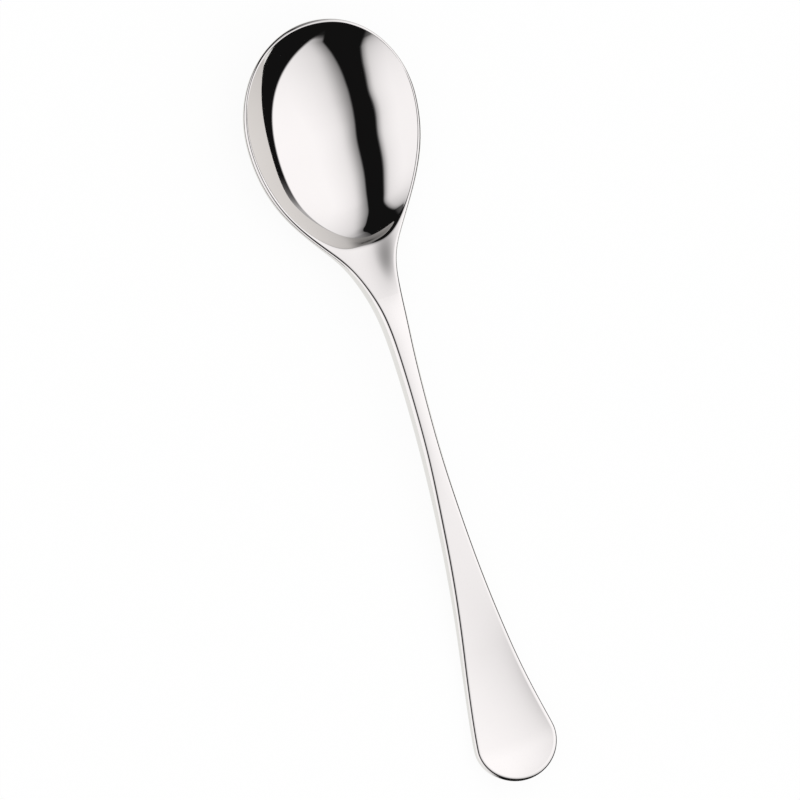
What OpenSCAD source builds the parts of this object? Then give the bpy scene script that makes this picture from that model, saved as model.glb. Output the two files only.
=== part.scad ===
// Serving spoon of polished steel: a broad egg-shaped bowl on a slim handle with a flared, round end.
// The handle runs towards -Y and the bowl towards +Y. The spoon lies on Z = 0, on the belly of the bowl
// and on the underside of the handle, and its length is centred on Y = 0.

/* [Length] */
// From the end of the handle to the tip of the bowl
overall_l = 250; // [225:1:300]

/* [Handle outline] */
// Width of the flared end
end_w = 28.3; // [24:0.1:40]
// Length of the round cap at the end
end_l = 12.5; // [9:0.1:18]
// Stretch over which the flared end keeps its full width
end_side = 4.7; // [2:0.1:10]
// From the end of the handle to the narrowest place of the stem
waist_y = 118; // [95:0.5:132]
// Width of the stem at its narrowest place
waist_w = 5.8; // [5:0.1:12]
// Stretch over which the taper eases into the stem
taper_ease = 57; // [30:1:70]

/* [Bowl outline] */
// Width of the bowl across its rim
bowl_w = 60; // [50:0.1:76]
// From the widest place of the bowl to its tip
tip_l = 31.5; // [28:0.1:40]
// From the heel of the hollow to the tip
bowl_l = 73.6; // [66:0.1:84]
// From the heel back to where the line of the shoulder meets the line of the stem
shoulder_back = 10.7; // [6:0.1:14]
// From the widest place back to where the line of the shoulder meets the side of the bowl
shoulder_front = 17.5; // [10:0.1:22]
// Place on the line of the shoulder where the outline turns from hollow to round
shoulder_turn = 0.4; // [0.3:0.01:0.6]
// Fullness of the outline on the stem side of that place
neck_ease = 0.35; // [0.15:0.01:0.6]
// Fullness of the outline on the bowl side of that place
shoulder_ease = 0.5; // [0.2:0.01:0.7]
// Least width of the rim between the outline and the hollow
rim_w = 1.1; // [0.8:0.1:1.6]

/* [Side view] */
// Rise of the handle towards the bowl, in degrees
handle_rise = 6; // [4:0.05:8]
// Length of the stretch at the end of the handle that curls up
curl_l = 44; // [25:1:55]
// Radius of that curl
curl_r = 141; // [70:1:200]
// From the heel back to where the neck starts to drop to the rim
neck_back = 32.5; // [22:0.5:42]
// From the heel forward to where the drop of the neck has reached the line of the rim
neck_ahead = 24.5; // [16:0.5:30]
// Rise of the rim towards the tip at the heel, in degrees
rim_rise = 13.5; // [7:0.05:16]
// Radius of the long arch of the rim
rim_arch_r = 900; // [500:10:2000]
// Depth of the hollow below the rim, at the widest place
bowl_depth = 12.3; // [9:0.1:16]
// How much steeper the hollow falls away at the heel than at the sides
heel_boost = 1.8; // [0:0.01:2]
// How quickly that steeper fall fades away from the heel
heel_power = 4; // [2:0.5:5]

/* [Thickness] */
// Flared end of the handle
end_t = 2.8; // [1.8:0.1:3.6]
// Stem at its narrowest place
waist_t = 4.1; // [2.4:0.1:5]
// Neck at the joint of handle and bowl
neck_t = 4.7; // [2.8:0.1:5.5]
// Rim of the bowl
rim_t = 1.5; // [1.1:0.1:2.2]
// From the heel forward to where the neck has thinned to the rim
rim_ahead = 14; // [8:1:20]
// Floor of the bowl, measured upright
floor_t = 1.5; // [1.1:0.1:2.4]

/* [Edges] */
// Height of the crown along the middle of the stem
crown_h = 0.4; // [0:0.05:0.8]
// Depth of the dish in the top of the flared end
dish_h = 1.6; // [0:0.05:1.8]
// Length of that dish
dish_l = 78; // [50:1:90]
// Depth of the groove in which the neck runs into the hollow
groove_h = 1.5; // [0:0.05:1.6]
// From the heel back to where that groove starts
groove_l = 22; // [14:0.5:28]
// Width of the soft upper edge of the handle
edge_w = 1.4; // [0.6:0.1:2]
// Slope to which that edge falls at the flared end, in degrees
end_lean = 43.5; // [20:0.5:50]
// Slope to which that edge falls on the stem, in degrees
stem_lean = 37; // [20:0.5:50]
// Width of the bevel round the rim
rim_edge = 0.9; // [0.4:0.05:1]
// Slope of that bevel, in degrees
rim_lean = 42; // [10:0.5:45]
// Width and height of the lower edge all round
under_edge = 0.3; // [0.1:0.05:0.4]
// Rounding of the crease at the heel of the hollow
heel_blend = 0.8; // [0.6:0.1:3]
// Rounding of the crease between the rim and the hollow
rim_blend = 0.3; // [0.2:0.05:1.5]
// Rounding of the underside between neck and bowl
neck_blend = 6; // [2:0.1:9]

/* [Joint and resting faces] */
// From the heel back to the plane where handle and bowl are butted together
joint_back = 16; // [12:0.5:22]
// How much the belly of the bowl is flattened to rest on
belly_flat = 0.3; // [0.1:0.05:0.4]
// How much the underside of the handle is flattened to rest on
handle_flat = 0.1; // [0.05:0.05:0.2]

/* [Hidden] */

// Steps along each piece of the outline
end_steps = 10;
taper_steps = 20;
stem_steps = 10;
heel_steps = 20;
shoulder_steps = 22;
tip_steps = 20;
// Steps across half of the top, its edge, half of the underside and its edge
top_steps = 13;
edge_steps = 4;
under_steps = 14;
under_edge_steps = 2;
// Step of the searches for the lowest points and of the search for the joint
search_step = 0.5;
search_rounds = 40;
// Stretch either side of the joint over which the edge turns square to the length
joint_fade = 14;
// Share of the wall that an edge or the dish may take
edge_share = 0.6;
// Share of the hollow's length to its heel over which the hollow is worked out
heel_reach = 1.3;
// From the heel forward to where the groove of the neck has its full depth
groove_ahead = 6;

// Places along the length, measured from the end of the handle
widest_y = overall_l - tip_l;
heel_y = overall_l - bowl_l;
joint_y = heel_y - joint_back;
neck_from_y = heel_y - neck_back;
neck_to_y = heel_y + neck_ahead;
rim_from_y = heel_y + rim_ahead;

// Half widths
end_r = end_w / 2;
waist_r = waist_w / 2;
bowl_r = bowl_w / 2;

// Half width of the hollow and its lengths from the widest place to the tip and to the heel
hollow_r = bowl_r - rim_w;
hollow_tip = tip_l - rim_w;
hollow_heel = bowl_l - tip_l;

function mix(a, b, t) = a + (b - a) * t;
function ramp(v, from, to) =
    let (t = min(max((v - from) / (to - from), 0), 1))
    t * t * t * (10 - 15 * t + 6 * t * t);
function soft_min(a, b, k) =
    let (h = max(k - abs(a - b), 0) / k)
    min(a, b) - h * h * h * k / 6;

// Plan outline: curves through points [place along the length, half width]
function curve_at(p, t) =
    mix(mix(mix(p[0], p[1], t), mix(p[1], p[2], t), t), mix(mix(p[1], p[2], t), mix(p[2], p[3], t), t), t);
function curve_way(p, t) =
    mix(mix(p[1] - p[0], p[2] - p[1], t), mix(p[2] - p[1], p[3] - p[2], t), t);
function curve_find(p, y, low = 0, high = 1, rounds = search_rounds) =
    let (t = (low + high) / 2)
    rounds == 0 ? t
    : curve_at(p, t)[0] < y ? curve_find(p, y, t, high, rounds - 1)
    : curve_find(p, y, low, t, rounds - 1);

taper = [[end_l, end_r], [end_l + end_side, end_r], [waist_y - taper_ease, waist_r], [waist_y, waist_r]];
shoulder_from = [heel_y - shoulder_back, waist_r];
shoulder_to = [widest_y - shoulder_front, bowl_r];
shoulder_mid = mix(shoulder_from, shoulder_to, shoulder_turn);
stem = [[waist_y, waist_r], shoulder_from, mix(shoulder_from, shoulder_mid, neck_ease), shoulder_mid];
shoulder = [shoulder_mid, mix(shoulder_mid, shoulder_to, shoulder_ease), shoulder_to, [widest_y, bowl_r]];
joint_t = curve_find(stem, joint_y);

// A station holds a place along the length, the half width there and the outward direction of the outline
function station(at, way) = [at[0], at[1], [-way[1], way[0]] / norm(way)];
function stations(p, from, to, steps) =
    [for (i = [1:steps]) let (t = mix(from, to, i / steps)) station(curve_at(p, t), curve_way(p, t))];
function end_stations() =
    [for (i = [0:end_steps]) let (a = 90 * i / end_steps)
        station([end_l * (1 - cos(a)), end_r * sin(a)], [end_l * sin(a), end_r * cos(a)])];
function tip_stations() =
    [for (i = [1:tip_steps]) let (a = 90 * i / tip_steps)
        station([widest_y + tip_l * sin(a), bowl_r * cos(a)], [tip_l * cos(a), -bowl_r * sin(a)])];
function joint_station() = [joint_y, curve_at(stem, joint_t)[1], [0, 1]];
function drop_last(list) = [for (i = [0:len(list) - 2]) list[i]];

// Hollow of the bowl: an egg in plan, whose depth follows the distance inside that egg and grows to the heel
egg_bend = (1 / pow(hollow_tip, 2) - 1 / pow(hollow_heel, 2)) / (hollow_tip + hollow_heel);
egg_base = 1 / pow(hollow_tip, 2) - egg_bend * hollow_tip;
function hollow(x, y) =
    let (
        u = max(y - widest_y, -heel_reach * hollow_heel),
        inside = 1 - pow(x / hollow_r, 2) - u * u * (egg_base + egg_bend * u)
    )
    bowl_depth * inside * (1 + heel_boost * pow(max(-u, 0) / hollow_heel, heel_power));

// Side view: the line of the handle and the line of the rim, joined by the drop of the neck
function wall(y) =
    end_t + (waist_t - end_t) * ramp(y, end_l, waist_y) + (neck_t - waist_t) * ramp(y, waist_y, joint_y)
    + (rim_t - neck_t) * ramp(y, joint_y, rim_from_y);
function handle_slope(y) = tan(handle_rise) * y + pow(max(curl_l - y, 0), 2) / (2 * curl_r);
function rim_slope(y) = tan(rim_rise) * (y - heel_y) - pow(y - heel_y, 2) / (2 * rim_arch_r);
handle_low = min([for (y = [0:search_step:waist_y]) handle_slope(y) - wall(y)]);
bowl_low = min([for (y = [neck_to_y:search_step:overall_l]) rim_slope(y) - hollow(0, y) - floor_t]);
function rail(y) =
    mix(handle_slope(y) - handle_low - handle_flat, rim_slope(y) - bowl_low - belly_flat,
        ramp(y, neck_from_y, neck_to_y));

// Surfaces: the handle, dished at its end, crowned on the stem and grooved at the neck, runs into the rim,
// and the hollow is cut into both
function crown(x, y, w) =
    let (
        r = y < end_l ? end_r : max(w, waist_r),
        inside = (w * w - x * x) / (r * r),
        rise = crown_h * ramp(y, dish_l, waist_y) * (1 - ramp(y, neck_from_y, heel_y)),
        dish = min(dish_h, edge_share * end_t) * (1 - ramp(y, 0, dish_l)),
        groove = groove_h * ramp(y, heel_y - groove_l, heel_y + groove_ahead)
            * (1 - ramp(y, heel_y + groove_ahead, widest_y))
    )
    (rise - dish - groove * inside) * inside;
function top_z(x, y, w) =
    soft_min(rail(y) + crown(x, y, w), rail(y) - hollow(x, y),
        mix(heel_blend, rim_blend, ramp(y, heel_y, rim_from_y)));
function under_z(x, y) =
    soft_min(rail(y) - wall(y), rail(y) - hollow(x, y) - floor_t,
        mix(neck_blend, rim_blend, ramp(y, heel_y, rim_from_y)));
function top_at(x, y, w, drop) = [x, y - overall_l / 2, top_z(x, y, w) - drop];
function under_at(x, y, lift) = [x, y - overall_l / 2, max(under_z(x, y) + lift, 0)];

// Right half of a ring round the spoon, from the middle of the top to the middle of the underside.
// Its edges are set in from the outline along the outward direction, which is turned square at the joint.
// The upper edge leans from one slope to another: from flat to its full slope on the handle, evenly on the rim
function half_ring(s) =
    let (
        y = s[0],
        w = s[1],
        square = mix(s[2], [0, 1], 1 - ramp(abs(y - joint_y), 0, joint_fade)),
        out = square / norm(square),
        onto_rim = ramp(y, joint_y, rim_from_y),
        handle_lean = mix(tan(end_lean), tan(stem_lean), ramp(y, 0, waist_y)),
        lean_in = tan(rim_lean) * onto_rim,
        lean_out = mix(handle_lean, tan(rim_lean), onto_rim),
        top_w = mix(edge_w, rim_edge, onto_rim),
        keep = min(1, edge_share * wall(y) * 2 / (top_w * (lean_in + lean_out)))
    )
    concat(
        [for (i = [0:top_steps - 1])
            top_at((w - top_w * out[1]) * sin(90 * i / top_steps), y - top_w * out[0], w, 0)],
        [for (i = [0:edge_steps]) let (t = i / edge_steps, d = top_w * (1 - t))
            top_at(w - d * out[1], y - d * out[0], w,
                keep * top_w * t * mix(lean_in, lean_out, t / 2))],
        [for (i = [under_edge_steps:-1:0]) let (a = 90 * i / under_edge_steps, d = under_edge * (1 - sin(a)))
            under_at(w - d * out[1], y - d * out[0], under_edge * (1 - cos(a)))],
        [for (i = [under_steps - 1:-1:0])
            under_at((w - under_edge * out[1]) * sin(90 * i / under_steps), y - under_edge * out[0], 0)]
    );
function ring(s) =
    let (half = half_ring(s))
    concat(half, [for (i = [len(half) - 2:-1:1]) [-half[i][0], half[i][1], half[i][2]]]);

// Skin over rings of points, with a flat lid on the ring at the joint. The ring at the end of the handle
// or at the tip is folded flat, so its two halves, and all points across it, share the points of one edge
half_last = top_steps + edge_steps + 1 + under_edge_steps + under_steps;
ring_size = 2 * half_last;
fold_top = top_steps;
fold_under = half_last - under_steps;
function folded(k) = min(max(k > half_last ? ring_size - k : k, fold_top), fold_under);
function point_at(i, k, fold) = i * ring_size + (i == fold ? folded(k % ring_size) : k % ring_size);
function whole(f) = f[0] != f[1] && f[1] != f[2] && f[2] != f[0];
module skin(list, fold, lid_at) {
    corners = [for (s = list) each ring(s)];
    sides = [for (i = [0:len(list) - 2], k = [0:ring_size - 1])
        let (
            a = point_at(i, k, fold),
            b = point_at(i, k + 1, fold),
            c = point_at(i + 1, k + 1, fold),
            d = point_at(i + 1, k, fold)
        )
        each [[a, c, b], [a, d, c]]];
    lid = [for (k = [0:ring_size - 1]) lid_at * ring_size + (lid_at == 0 ? k : ring_size - 1 - k)];
    polyhedron(corners, concat([for (f = sides) if (whole(f)) f], [lid]), convexity = 6);
}

module bowl() {
    list = concat([joint_station()], stations(stem, joint_t, 1, heel_steps),
        stations(shoulder, 0, 1, shoulder_steps), tip_stations());
    color("gainsboro") skin(list, len(list) - 1, 0);
}

module handle() {
    list = concat(end_stations(), stations(taper, 0, 1, taper_steps),
        drop_last(stations(stem, 0, joint_t, stem_steps)), [joint_station()]);
    color("silver") skin(list, 0, len(list) - 1);
}

bowl();
handle();
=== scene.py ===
import math

import bmesh
import bpy
from mathutils import Matrix, Vector


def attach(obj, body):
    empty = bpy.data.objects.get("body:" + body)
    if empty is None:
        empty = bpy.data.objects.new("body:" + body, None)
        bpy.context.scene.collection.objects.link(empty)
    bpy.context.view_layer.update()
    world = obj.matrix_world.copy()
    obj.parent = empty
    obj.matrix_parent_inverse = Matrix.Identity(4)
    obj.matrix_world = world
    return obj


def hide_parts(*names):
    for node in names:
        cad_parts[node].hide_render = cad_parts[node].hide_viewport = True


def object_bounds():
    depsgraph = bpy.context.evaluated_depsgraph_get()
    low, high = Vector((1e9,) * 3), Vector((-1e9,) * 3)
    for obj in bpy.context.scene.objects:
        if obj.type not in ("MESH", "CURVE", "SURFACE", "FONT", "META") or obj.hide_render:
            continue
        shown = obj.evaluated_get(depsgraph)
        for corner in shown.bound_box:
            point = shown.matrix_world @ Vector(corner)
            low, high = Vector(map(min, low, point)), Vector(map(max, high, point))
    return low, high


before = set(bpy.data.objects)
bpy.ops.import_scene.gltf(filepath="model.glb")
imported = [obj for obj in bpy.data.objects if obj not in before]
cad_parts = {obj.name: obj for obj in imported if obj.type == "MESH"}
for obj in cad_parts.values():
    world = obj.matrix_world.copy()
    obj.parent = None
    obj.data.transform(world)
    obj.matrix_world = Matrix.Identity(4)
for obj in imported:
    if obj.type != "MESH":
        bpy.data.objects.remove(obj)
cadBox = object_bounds()
scene = bpy.context.scene
scene.view_settings.view_transform = "Standard"
mm = 0.001
quarterTurn = math.radians(90)
cadTop = cadBox[1][2] / mm

# camera: high over the spoon, leaning to its left, turned so that the handle points down to the right
cameraSetup = {
    "toCamera": (-0.372491, 0.039757, 0.927184),
    "imageUp": (0.295396, 0.952198, 0.077844),
    "distance": 1.1,
    "lens": 155, "sensor": 36, "farthest": 20,
    "centre": (-0.00106, 0.00268, -0.00054),  # the place in the middle of the picture
}


def setCamera():
    eye = Vector(cameraSetup["toCamera"]) * cameraSetup["distance"]
    back = (eye - Vector(cameraSetup["centre"])).normalized()
    right = Vector(cameraSetup["imageUp"]).cross(back).normalized()
    turn = Matrix((right, back.cross(right), back)).transposed()
    data = bpy.data.cameras.new("photoCamera")
    data.lens = cameraSetup["lens"]
    data.sensor_width = cameraSetup["sensor"]
    data.clip_end = cameraSetup["farthest"]
    camera = bpy.data.objects.new("photoCamera", data)
    camera.matrix_world = Matrix.Translation(eye) @ turn.to_4x4()
    scene.collection.objects.link(camera)
    scene.camera = camera


setCamera()
print("camera set")


def mix(a, b, t):
    return a + (b - a) * t


# from 0 to 1 between start and end, level at both
def ramp(value, start, end):
    t = min(max((value - start) / (end - start), 0), 1)
    return t * t * t * (10 - 15 * t + 6 * t * t)


# the lower of two heights, rounded where they come close
def softMin(a, b, blend):
    h = max(blend - abs(a - b), 0) / blend
    return min(a, b) - h * h * h * blend / 6


# sizes in mm, measured from the end of the handle
handleShape = {
    "endRadius": 14.15, "endCap": 12.5, "endSide": 4.7,  # flared end
    "waistAt": 118, "waistRadius": 2.9, "taperEase": 57,  # slim stem
    "rise": math.tan(math.radians(6)), "curl": 44, "curlRadius": 141,  # side view
    "endThick": 2.8, "waistThick": 4.1, "neckThick": 4.7,
    "crown": 0.4, "dish": 1.6, "dishLength": 78,  # the top is dished at the end and crowned on the stem
    "edgeWidth": 1.4, "endLean": (0, 0.95), "stemLean": (0, 0.75),  # lean of the edge, inside and outside
    "flat": 0.1,  # depth of the flat that it rests on
    "rows": {"end": 48, "taper": 84, "stem": 44},
}
bowlShape = {
    "length": 250, "radius": 30, "tip": 31.5, "hollowLength": 73.6,
    "shoulderBack": 10.7, "shoulderFront": 17.5, "shoulderTurn": 0.4,  # outline from the neck to the bowl
    "neckEase": 0.35, "shoulderEase": 0.5,
    "rise": math.tan(math.radians(13.5)), "archRadius": 900, "neckBack": 32.5, "neckAhead": 24.5,
    "depth": 12.3, "heelBoost": 1.8, "heelPower": 4, "heelReach": 1.3,  # the hollow steepens to the heel
    "rimWidth": 1.1, "rimThick": 1.5, "rimAhead": 14, "floorThick": 1.5, "rimEdge": 0.95,
    # lean of the rim, inside and outside, by how far the outline faces the tip
    "rimLean": ((0.55, 0.38, 0.8), (0.8, 0.27, 0.4), (0.95, 0.45, 0.65), (1, 0.7, 1)),
    "rimRoll": 2, "rollPower": 7,  # how much steeper the rim gets at its outer edge, and how suddenly
    "heelBlend": 1, "rimBlend": 0.3, "neckBlend": 6,  # how softly the faces run together
    "flat": 0.3,
    "neckDish": 1.8, "dishBack": 22, "dishAhead": 6,  # the neck is grooved towards the hollow
    "jointBack": 16, "jointRow": 0.04,  # a close row beside the joint keeps the finish even up to it
    "rows": {"heel": 120, "shoulder": 90, "tip": 84},
}
ringShape = {"top": 46, "edge": 16, "side": (0.02, 0.33, 0.67), "foot": 4, "under": 28, "footEdge": 0.3}
skinGaps = {"mirror": 1e-7, "weld": 1e-6, "cut": 1e-8}  # in metres

widestAt = bowlShape["length"] - bowlShape["tip"]
heelAt = bowlShape["length"] - bowlShape["hollowLength"]
jointAt = heelAt - bowlShape["jointBack"]
neckFrom = heelAt - bowlShape["neckBack"]
neckTo = heelAt + bowlShape["neckAhead"]
rimFrom = heelAt + bowlShape["rimAhead"]
hollowRadius = bowlShape["radius"] - bowlShape["rimWidth"]
hollowTip = bowlShape["tip"] - bowlShape["rimWidth"]
hollowHeel = bowlShape["hollowLength"] - bowlShape["tip"]
eggBend = (hollowTip ** -2 - hollowHeel ** -2) / (hollowTip + hollowHeel)
eggBase = hollowTip ** -2 - eggBend * hollowTip


def hollow(x, y):
    u = max(y - widestAt, -bowlShape["heelReach"] * hollowHeel)
    inside = 1 - (x / hollowRadius) ** 2 - u * u * (eggBase + eggBend * u)
    steeper = 1 + bowlShape["heelBoost"] * (max(-u, 0) / hollowHeel) ** bowlShape["heelPower"]
    return bowlShape["depth"] * inside * steeper


def wall(y):
    end, waist, neck = handleShape["endThick"], handleShape["waistThick"], handleShape["neckThick"]
    thick = end + (waist - end) * ramp(y, handleShape["endCap"], handleShape["waistAt"])
    thick += (neck - waist) * ramp(y, handleShape["waistAt"], jointAt)
    return thick + (bowlShape["rimThick"] - neck) * ramp(y, jointAt, rimFrom)


def handleLine(y):
    curl = max(handleShape["curl"] - y, 0) ** 2 / (2 * handleShape["curlRadius"])
    return handleShape["rise"] * y + curl


def rimLine(y):
    return bowlShape["rise"] * (y - heelAt) - (y - heelAt) ** 2 / (2 * bowlShape["archRadius"])


# both ends of the spoon are let down onto the table
halfSteps = range(2 * bowlShape["length"] + 1)
handleLow = min(handleLine(i / 2) - wall(i / 2) for i in halfSteps if i / 2 <= handleShape["waistAt"])
bowlLow = min(rimLine(neckTo + i / 2) - hollow(0, neckTo + i / 2) - bowlShape["floorThick"]
              for i in halfSteps if neckTo + i / 2 <= bowlShape["length"])


def rail(y):
    return mix(handleLine(y) - handleLow - handleShape["flat"], rimLine(y) - bowlLow - bowlShape["flat"],
               ramp(y, neckFrom, neckTo))


def topAt(x, y, w):
    r = handleShape["endRadius"] if y < handleShape["endCap"] else max(w, handleShape["waistRadius"])
    lift = handleShape["crown"] * ramp(y, handleShape["dishLength"], handleShape["waistAt"])
    lift *= 1 - ramp(y, neckFrom, heelAt)
    lift -= handleShape["dish"] * (1 - ramp(y, 0, handleShape["dishLength"]))
    grooveTo = heelAt + bowlShape["dishAhead"]
    groove = bowlShape["neckDish"] * ramp(y, heelAt - bowlShape["dishBack"], grooveTo)
    groove *= 1 - ramp(y, grooveTo, widestAt)
    inside = (w * w - x * x) / (r * r)
    crown = (lift - groove * inside) * inside
    blend = mix(bowlShape["heelBlend"], bowlShape["rimBlend"], ramp(y, heelAt, rimFrom))
    return softMin(rail(y) + crown, rail(y) - hollow(x, y), blend)


def underAt(x, y):
    blend = mix(bowlShape["neckBlend"], bowlShape["rimBlend"], ramp(y, heelAt, rimFrom))
    return softMin(rail(y) - wall(y), rail(y) - hollow(x, y) - bowlShape["floorThick"], blend)


def bezier(p, t):
    a, b, c = (p[i].lerp(p[i + 1], t) for i in range(3))
    d, e = a.lerp(b, t), b.lerp(c, t)
    return d.lerp(e, t), e - d  # the point and its direction


def station(point, way):
    return point.x, point.y, Vector((-way.y, way.x)).normalized()


# places along the outline: how far along, half width, and the way out of the outline
def spoonStations():
    cap, endR = handleShape["endCap"], handleShape["endRadius"]
    waist = Vector((handleShape["waistAt"], handleShape["waistRadius"]))
    shoulderFrom = Vector((heelAt - bowlShape["shoulderBack"], waist.y))
    shoulderTo = Vector((widestAt - bowlShape["shoulderFront"], bowlShape["radius"]))
    turn = shoulderFrom.lerp(shoulderTo, bowlShape["shoulderTurn"])
    taper = [Vector((cap, endR)), Vector((cap + handleShape["endSide"], endR)),
             waist - Vector((handleShape["taperEase"], 0)), waist]
    stem = [waist, shoulderFrom, shoulderFrom.lerp(turn, bowlShape["neckEase"]), turn]
    shoulder = [turn, turn.lerp(shoulderTo, bowlShape["shoulderEase"]), shoulderTo,
                Vector((widestAt, bowlShape["radius"]))]
    found = []
    rows = handleShape["rows"]["end"]
    for i in range(rows + 1):
        a = quarterTurn * i / rows
        found.append(station(Vector((cap * (1 - math.cos(a)), endR * math.sin(a))),
                             Vector((cap * math.sin(a), endR * math.cos(a)))))
    stemRows = handleShape["rows"]["stem"] + bowlShape["rows"]["heel"]
    for curve, rows in ((taper, handleShape["rows"]["taper"]), (stem, stemRows),
                        (shoulder, bowlShape["rows"]["shoulder"])):
        found += [station(*bezier(curve, i / rows)) for i in range(1, rows + 1)]
    rows = bowlShape["rows"]["tip"]
    tip, radius = bowlShape["tip"], bowlShape["radius"]
    for i in range(1, rows + 1):
        a = quarterTurn * i / rows
        found.append(station(Vector((widestAt + tip * math.sin(a), radius * math.cos(a))),
                             Vector((tip * math.cos(a), -radius * math.sin(a)))))
    return found


# from 0 to 1, closer together towards 1
def sineSteps(count):
    return [math.sin(quarterTurn * i / count) for i in range(count + 1)]


# spots round half of a ring, from the middle of the top to the middle of the underside
def ringSpots():
    n = ringShape
    spots = [("top", value) for value in sineSteps(n["top"])[:-1]]
    spots += [("edge", value) for value in sineSteps(n["edge"])]
    spots += [("side", value) for value in n["side"]]
    spots += [("foot", quarterTurn * i / n["foot"]) for i in range(n["foot"], -1, -1)]
    return spots + [("under", value) for value in reversed(sineSteps(n["under"])[:-1])]


# read between the rows of the table
def rimLean(facing):
    table = bowlShape["rimLean"]
    for low, high in zip(table, table[1:]):
        if facing < high[0]:
            share = max(facing - low[0], 0) / (high[0] - low[0])
            return mix(low[1], high[1], share), mix(low[2], high[2], share)
    return table[-1][1:]


def spotPlace(at, spot):
    y, w, out = at
    kind, value = spot
    onRim = ramp(y, jointAt, rimFrom)
    onStem = ramp(y, 0, handleShape["waistAt"])
    edgeW = mix(handleShape["edgeWidth"], bowlShape["rimEdge"], onRim)
    leanIn, leanOut = (mix(mix(end, stem, onStem), rim, onRim) for end, stem, rim in
                       zip(handleShape["endLean"], handleShape["stemLean"], rimLean(out.x)))
    power = bowlShape["rollPower"]
    roll = bowlShape["rimRoll"] * onRim / power
    edgeH = edgeW * ((leanIn + leanOut) / 2 + roll)
    foot = ringShape["footEdge"]
    if kind == "top":
        spotX, spotY = (w - edgeW * out.y) * value, y - edgeW * out.x
        return spotX, spotY, topAt(spotX, spotY, w)
    if kind == "edge":
        inset = edgeW * (1 - value)
        drop = edgeW * (value * (leanIn + (leanOut - leanIn) * value / 2) + roll * value ** power)
        spotX, spotY = w - inset * out.y, y - inset * out.x
        return spotX, spotY, topAt(spotX, spotY, w) - drop
    if kind == "side":
        return w, y, mix(topAt(w, y, w) - edgeH, max(underAt(w, y), 0) + foot, value)
    if kind == "foot":
        inset = foot * (1 - math.sin(value))
        spotX, spotY = w - inset * out.y, y - inset * out.x
        return spotX, spotY, max(underAt(spotX, spotY) + foot * (1 - math.cos(value)), 0)
    spotX, spotY = (w - foot * out.y) * value, y - foot * out.x
    return spotX, spotY, max(underAt(spotX, spotY), 0)


# a flat sheet is laid round the right half of the spoon, mirrored and welded to a closed skin
def spoonSkin():
    stations, spots = spoonStations(), ringSpots()
    rows, columns = len(stations) - 1, len(spots) - 1
    skin = bmesh.new()
    bmesh.ops.create_grid(skin, x_segments=columns, y_segments=rows, size=1)
    for v in skin.verts:
        at = stations[round((v.co.y + 1) / 2 * rows)]
        x, y, z = spotPlace(at, spots[round((v.co.x + 1) / 2 * columns)])
        v.co = Vector((x, y - bowlShape["length"] / 2, min(z, cadTop))) * mm
    whole = skin.verts[:] + skin.edges[:] + skin.faces[:]
    bmesh.ops.mirror(skin, geom=whole, axis="X", merge_dist=skinGaps["mirror"])
    bmesh.ops.remove_doubles(skin, verts=skin.verts[:], dist=skinGaps["weld"])
    bmesh.ops.recalc_face_normals(skin, faces=skin.faces[:])
    return skin


# the skin is cut square at the neck, and the cut is closed with a flat lid
def cutPiece(skin, name, keepBowl):
    piece = skin.copy()
    joint = Vector((0, (jointAt - bowlShape["length"] / 2) * mm, 0))
    closeRow = Vector((0, bowlShape["jointRow"] * mm * (1 if keepBowl else -1), 0))
    for place in (joint + closeRow, joint):
        last = place == joint
        cut = bmesh.ops.bisect_plane(
            piece, geom=piece.verts[:] + piece.edges[:] + piece.faces[:], dist=skinGaps["cut"],
            plane_co=place, plane_no=(0, 1, 0),
            clear_inner=last and keepBowl, clear_outer=last and not keepBowl)
    rim = [e for e in cut["geom_cut"] if isinstance(e, bmesh.types.BMEdge)]
    for face in piece.faces:
        face.smooth = True
    for edge in rim:
        edge.smooth = False
    lid = bmesh.ops.contextual_create(piece, geom=rim)["faces"]
    for face in lid:
        face.smooth = False
    bmesh.ops.recalc_face_normals(piece, faces=piece.faces[:])
    mesh = bpy.data.meshes.new(name)
    piece.to_mesh(mesh)
    piece.free()
    obj = bpy.data.objects.new(name, mesh)
    scene.collection.objects.link(obj)
    print(name, len(mesh.polygons), "faces")
    return obj


spoonForm = spoonSkin()
spoonBowl = cutPiece(spoonForm, "spoonBowl", True)
spoonHandle = cutPiece(spoonForm, "spoonHandle", False)
spoonForm.free()
print("pieces cut")


def addNode(tree, kind, **values):
    made = tree.nodes.new(kind)
    for key, value in values.items():
        setattr(made, key, value)
    return made


def feed(tree, socket, value):
    if isinstance(value, bpy.types.NodeSocket):
        tree.links.new(value, socket)
    else:
        socket.default_value = value


def calc(tree, operation, *values):
    made = addNode(tree, "ShaderNodeMath", operation=operation)
    for socket, value in zip(made.inputs, values):
        feed(tree, socket, value)
    return made.outputs[0]


def rangeOf(tree, value, fromLow, fromHigh, toLow, toHigh, soft=True):
    made = addNode(tree, "ShaderNodeMapRange", interpolation_type="SMOOTHSTEP" if soft else "LINEAR")
    for socket, amount in zip(made.inputs, (value, fromLow, fromHigh, toLow, toHigh)):
        feed(tree, socket, amount)
    return made.outputs[0]


polishSetup = {
    "hazeScale": 90, "hazeDetail": 4, "hazeFrom": 0.35, "hazeTo": 0.7,
    "lineScale": 2600, "lineDetail": 2, "lineFrom": 0.62, "lineTo": 0.72,
    "lineStretch": (1, 0.06, 1),  # buffed along the spoon
    "leastTone": 0.99, "toneSpread": 0.02, "depth": 0.00002,
}


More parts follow.
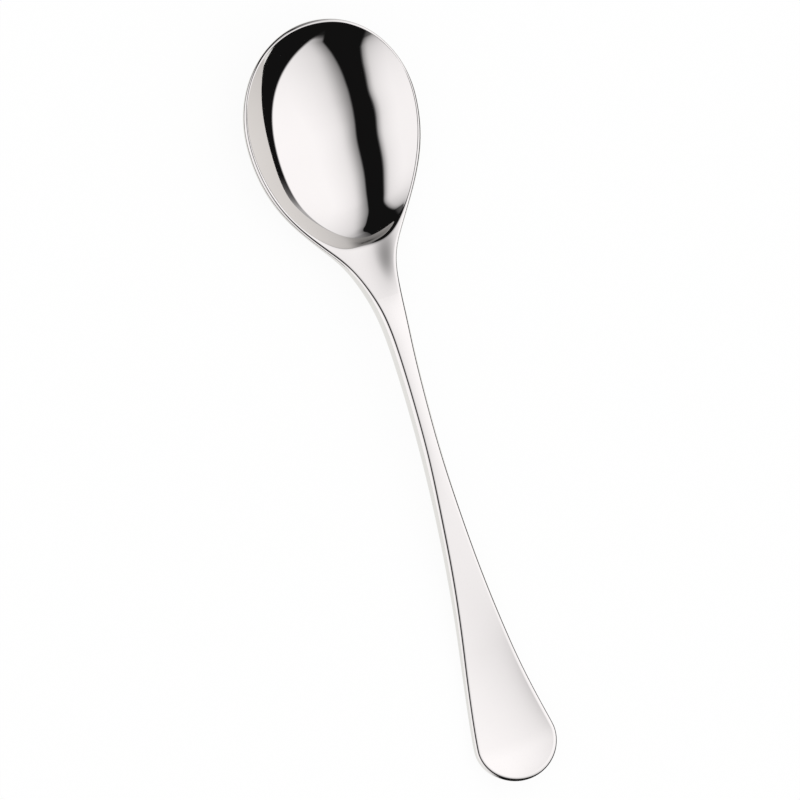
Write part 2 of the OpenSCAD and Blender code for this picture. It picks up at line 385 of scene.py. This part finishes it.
# fine polishing haze and a few hairlines
def makePolish():
    tree = bpy.data.node_groups.new("steelPolish", "ShaderNodeTree")
    for label in ("Scale", "Haze", "Least Roughness"):
        tree.interface.new_socket(label, in_out="INPUT", socket_type="NodeSocketFloat")
    for label in ("Tone", "Roughness", "Height"):
        tree.interface.new_socket(label, in_out="OUTPUT", socket_type="NodeSocketFloat")
    start, end = addNode(tree, "NodeGroupInput"), addNode(tree, "NodeGroupOutput")
    place = addNode(tree, "ShaderNodeTexCoord").outputs["Object"]
    scaled = addNode(tree, "ShaderNodeVectorMath", operation="SCALE")
    tree.links.new(place, scaled.inputs[0])
    tree.links.new(start.outputs["Scale"], scaled.inputs["Scale"])
    haze = addNode(tree, "ShaderNodeTexNoise")
    haze.inputs["Scale"].default_value = polishSetup["hazeScale"]
    haze.inputs["Detail"].default_value = polishSetup["hazeDetail"]
    stretch = addNode(tree, "ShaderNodeMapping")
    stretch.inputs["Scale"].default_value = polishSetup["lineStretch"]
    lines = addNode(tree, "ShaderNodeTexNoise")
    lines.inputs["Scale"].default_value = polishSetup["lineScale"]
    lines.inputs["Detail"].default_value = polishSetup["lineDetail"]
    tree.links.new(scaled.outputs[0], haze.inputs["Vector"])
    tree.links.new(scaled.outputs[0], stretch.inputs["Vector"])
    tree.links.new(stretch.outputs[0], lines.inputs["Vector"])
    hazeMask = rangeOf(tree, haze.outputs[0], polishSetup["hazeFrom"], polishSetup["hazeTo"], 0, 1)
    lineMask = rangeOf(tree, lines.outputs[0], polishSetup["lineFrom"], polishSetup["lineTo"], 0, 1)
    marks = calc(tree, "MULTIPLY", lineMask, hazeMask)
    extra = calc(tree, "MULTIPLY", calc(tree, "ADD", hazeMask, marks), start.outputs["Haze"])
    tree.links.new(calc(tree, "ADD", extra, start.outputs["Least Roughness"]), end.inputs["Roughness"])
    tone = calc(tree, "MULTIPLY_ADD", haze.outputs[0], polishSetup["toneSpread"], polishSetup["leastTone"])
    tree.links.new(tone, end.inputs["Tone"])
    tree.links.new(calc(tree, "MULTIPLY", lines.outputs[0], hazeMask), end.inputs["Height"])
    return tree


steelPolish = makePolish()
bowlSteel = {"name": "polishedBowl", "colour": (0.72, 0.709, 0.684), "scale": 1.0, "haze": 0.008,
             "roughness": 0.02, "bump": 0.01}
# the handle's steel is the bowl's steel made a little paler: painted light, standing in for the brighter
# light that falls on the handle
paintedBrighterHandleSteel = {"name": "polishedHandlePaintedBrighter", "colour": (0.745, 0.734, 0.708), "scale": 1.0, "haze": 0.015,
               "roughness": 0.03, "bump": 0.015}


def makeSteel(finish):
    steel = bpy.data.materials.new(finish["name"])
    steel.use_nodes = True
    tree = steel.node_tree
    shader = tree.nodes["Principled BSDF"]
    shader.inputs["Metallic"].default_value = 1.0
    polish = addNode(tree, "ShaderNodeGroup", node_tree=steelPolish)
    polish.inputs["Scale"].default_value = finish["scale"]
    polish.inputs["Haze"].default_value = finish["haze"]
    polish.inputs["Least Roughness"].default_value = finish["roughness"]
    tone = addNode(tree, "ShaderNodeVectorMath", operation="SCALE")
    tone.inputs[0].default_value = finish["colour"]
    tree.links.new(polish.outputs["Tone"], tone.inputs["Scale"])
    tree.links.new(tone.outputs[0], shader.inputs["Base Color"])
    tree.links.new(polish.outputs["Roughness"], shader.inputs["Roughness"])
    bump = addNode(tree, "ShaderNodeBump")
    bump.inputs["Strength"].default_value = finish["bump"]
    bump.inputs["Distance"].default_value = polishSetup["depth"]
    tree.links.new(polish.outputs["Height"], bump.inputs["Height"])
    tree.links.new(bump.outputs[0], shader.inputs["Normal"])
    return steel


for piece, node, slot, finish in ((spoonBowl, "bowl", "bowl_steel", bowlSteel),
                                  (spoonHandle, "handle", "handle_steel", paintedBrighterHandleSteel)):
    piece.data.materials.append(makeSteel(finish))
    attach(piece, "root")
    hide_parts(node)
print("steel laid on")

# a white tent stands round the spoon; it is dark low down and in the slit that the camera looks through
tentSetup = {
    "radius": 0.42, "middle": (0, 0.08, 0.01), "level": 1.336, "dark": 0.008,
    "tint": (0.99, 0.968, 1, 1),
    "detail": 5, "hem": 0.08,  # the round part ends at this height, and a skirt runs from there to the floor
    "skirt": (0.15, 0.22),  # where the skirt stands on the floor, across and along the spoon
    "lowest": 77.9, "lowSoft": 1,  # degrees from straight up at which the white ends
    "lowGrey": 0.43, "lowAlong": (2, 14), "lowAcross": (-6, 84),  # grey below that, ahead and to the right
    # edges of the slit: degrees along the spoon, degrees across it
    "mainEdge": ((-70, 19), (-65, 11.5), (-60, 5.7), (-50, -2.5), (-40, -7.8), (-30, -11.2), (-15, -12.6),
                 (0, -9.8), (20, -9.6), (30, -8.4), (40, -4), (50, 2.5), (60, 12.7), (63, 13), (68, 9),
                 (76, 7)),
    "leftEdge": ((-60, -17), (-50, -20.8), (-40, -24.3), (-30, -26.6), (-15, -30), (0, -27.7), (20, -28),
                 (30, -28), (40, -30.3), (50, -33.6), (56, -36)),
    # how bright the tent is along the spoon
    "alongMain": ((-74, 0), (-72.5, 0.3), (-71, 0.73), (-66, 0.84), (-60, 0.87), (-40, 0.96), (-20, 1),
                  (0, 1), (20, 0.955), (40, 0.885), (55, 0.79), (60, 0.69), (65, 0.56), (70, 0.3),
                  (76, 0.26)),
    "alongLeft": ((-65, 0), (-60, 0.65), (-50, 0.82), (-30, 0.93), (0, 0.96), (20, 0.92), (40, 0.75),
                  (50, 0.6), (56, 0)),
    # how the white grows from the slit inwards, by degrees, and how this is stretched along the spoon
    "grow": ((0, 0.17), (3, 0.3), (6, 0.41), (12, 0.63), (18, 0.79), (22, 0.845), (30, 0.9), (40, 0.945),
             (60, 1)),
    "mainStretch": ((-60, 0.8), (-35, 1), (-20, 0.9), (0, 0.75), (20, 1.05), (40, 1.3), (60, 1.2)),
    "leftStretch": 0.25, "edgeSoft": 1.2,
}
halfTurn = 180
overOne = 1.000001  # keeps a root and a division clear of zero


# a curve over degrees, 90 to each side, that gives degrees (spread halfTurn) or factors (spread 1)
def degreeCurve(tree, angle, points, spread):
    made = addNode(tree, "ShaderNodeFloatCurve")
    tree.links.new(calc(tree, "MULTIPLY_ADD", angle, 1 / halfTurn, 0.5), made.inputs["Value"])
    curve = made.mapping.curves[0]
    places = [(a / halfTurn + 0.5, b / spread + (0.5 if spread > 1 else 0)) for a, b in points]
    made.mapping.use_clip = False
    for spot, place in zip(curve.points, (places[0], places[-1])):
        spot.location = place
    for place in places[1:-1]:
        curve.points.new(*place)
    made.mapping.extend = "HORIZONTAL"
    made.mapping.update()
    if spread > 1:
        return calc(tree, "MULTIPLY_ADD", made.outputs[0], spread, -spread / 2)
    return made.outputs[0]


def tentPanel(tree, inside, stretch):
    edge = rangeOf(tree, inside, -tentSetup["edgeSoft"], tentSetup["edgeSoft"], 0, 1)
    fade = degreeCurve(tree, calc(tree, "DIVIDE", inside, stretch), tentSetup["grow"], 1)
    return calc(tree, "MULTIPLY", edge, fade)


def makeTentCloth():
    cloth = bpy.data.materials.new("tentCloth")
    cloth.use_nodes = True
    tree = cloth.node_tree
    tree.nodes.remove(tree.nodes["Principled BSDF"])
    place = addNode(tree, "ShaderNodeVectorMath", operation="SUBTRACT")
    place.inputs[1].default_value = tentSetup["middle"]
    tree.links.new(addNode(tree, "ShaderNodeTexCoord").outputs["Object"], place.inputs[0])
    way = addNode(tree, "ShaderNodeVectorMath", operation="NORMALIZE")
    tree.links.new(place.outputs[0], way.inputs[0])
    split = addNode(tree, "ShaderNodeSeparateXYZ")
    tree.links.new(way.outputs[0], split.inputs[0])
    x, y, z = split.outputs
    fromTop = calc(tree, "DEGREES", calc(tree, "ARCCOSINE", z))
    flat = calc(tree, "SQRT", calc(tree, "SUBTRACT", overOne, calc(tree, "MULTIPLY", z, z)))
    across = calc(tree, "DIVIDE", calc(tree, "MULTIPLY", fromTop, x), flat)
    along = calc(tree, "DIVIDE", calc(tree, "MULTIPLY", fromTop, y), flat)
    pastMain = calc(tree, "SUBTRACT", across, degreeCurve(tree, along, tentSetup["mainEdge"], halfTurn))
    pastLeft = calc(tree, "SUBTRACT", degreeCurve(tree, along, tentSetup["leftEdge"], halfTurn), across)
    main = tentPanel(tree, pastMain, degreeCurve(tree, along, tentSetup["mainStretch"], 1))
    left = tentPanel(tree, pastLeft, tentSetup["leftStretch"])
    main = calc(tree, "MULTIPLY", main, degreeCurve(tree, along, tentSetup["alongMain"], 1))
    left = calc(tree, "MULTIPLY", left, degreeCurve(tree, along, tentSetup["alongLeft"], 1))
    lowest, lowSoft = tentSetup["lowest"], tentSetup["lowSoft"]
    high = rangeOf(tree, fromTop, lowest + lowSoft, lowest - lowSoft, 0, 1)
    below = calc(tree, "MULTIPLY", rangeOf(tree, along, *tentSetup["lowAlong"], 0, tentSetup["lowGrey"]),
                 rangeOf(tree, across, *tentSetup["lowAcross"], 0, 1, soft=False))
    above = calc(tree, "SUBTRACT", calc(tree, "MAXIMUM", main, left), below)
    white = calc(tree, "MULTIPLY_ADD", above, high, below)
    glow = addNode(tree, "ShaderNodeEmission")
    glow.inputs["Color"].default_value = tentSetup["tint"]
    strength = calc(tree, "MULTIPLY_ADD", white, tentSetup["level"], tentSetup["dark"])
    tree.links.new(strength, glow.inputs["Strength"])
    tree.links.new(glow.outputs[0], tree.nodes["Material Output"].inputs["Surface"])
    return cloth


def makeTent():
    form = bmesh.new()
    bmesh.ops.create_icosphere(form, subdivisions=tentSetup["detail"], radius=tentSetup["radius"])
    bmesh.ops.translate(form, verts=form.verts[:], vec=tentSetup["middle"])
    bmesh.ops.bisect_plane(form, geom=form.verts[:] + form.edges[:] + form.faces[:], dist=skinGaps["weld"],
                           plane_co=(0, 0, tentSetup["hem"]), plane_no=(0, 0, 1), clear_inner=True)
    hem = bmesh.ops.extrude_edge_only(form, edges=[e for e in form.edges if e.is_boundary])["geom"]
    for v in (v for v in hem if isinstance(v, bmesh.types.BMVert)):
        turn = math.atan2(v.co.x, v.co.y - tentSetup["middle"][1])
        v.co = (tentSetup["skirt"][0] * math.sin(turn), tentSetup["skirt"][1] * math.cos(turn), 0)
    mesh = bpy.data.meshes.new("lightTent")
    form.to_mesh(mesh)
    form.free()
    tent = bpy.data.objects.new("lightTent", mesh)
    tent.data.materials.append(makeTentCloth())
    tent.visible_camera = False
    tent.visible_shadow = False
    tent.visible_diffuse = False  # the floor is lit by the room alone, so the hem leaves no line on it
    scene.collection.objects.link(tent)


roomColour = (1, 1, 1, 1)
floorSetup = {"size": 3.9, "drop": 0.0003, "colour": (0.97, 0.97, 0.965, 1), "glow": 0.9,
              "roughness": 0.9, "specular": 0.1}


# Is Camera, Is Glossy and Is Transmission Ray together: what the eye, the metal and glass see
def seenRays(tree):
    path = addNode(tree, "ShaderNodeLightPath")
    seen = calc(tree, "MAXIMUM", path.outputs["Is Camera Ray"], path.outputs["Is Glossy Ray"])
    return calc(tree, "MAXIMUM", seen, path.outputs["Is Transmission Ray"])


def makeFloor():
    form = bmesh.new()
    bmesh.ops.create_grid(form, x_segments=1, y_segments=1, size=floorSetup["size"])
    bmesh.ops.translate(form, verts=form.verts[:], vec=(0, 0, -floorSetup["drop"]))
    mesh = bpy.data.meshes.new("paleFloor")
    form.to_mesh(mesh)
    form.free()
    board = bpy.data.materials.new("paleBoard")
    board.use_nodes = True
    tree = board.node_tree
    shader = tree.nodes["Principled BSDF"]
    shader.inputs["Base Color"].default_value = floorSetup["colour"]
    shader.inputs["Roughness"].default_value = floorSetup["roughness"]
    shader.inputs["Specular IOR Level"].default_value = floorSetup["specular"]
    glow = addNode(tree, "ShaderNodeEmission")
    blend = addNode(tree, "ShaderNodeMixShader")
    tree.links.new(calc(tree, "MULTIPLY", seenRays(tree), floorSetup["glow"]), blend.inputs[0])
    tree.links.new(shader.outputs[0], blend.inputs[1])
    tree.links.new(glow.outputs[0], blend.inputs[2])
    tree.links.new(blend.outputs[0], tree.nodes["Material Output"].inputs["Surface"])
    floor = bpy.data.objects.new("paleFloor", mesh)
    floor.data.materials.append(board)
    scene.collection.objects.link(floor)


def makeBackground():
    world = bpy.data.worlds.new("whiteRoom")
    scene.world = world
    world.use_nodes = True
    world.node_tree.nodes["Background"].inputs["Color"].default_value = roomColour


makeTent()
makeFloor()
makeBackground()
print("studio set")

bpy.context.view_layer.update()
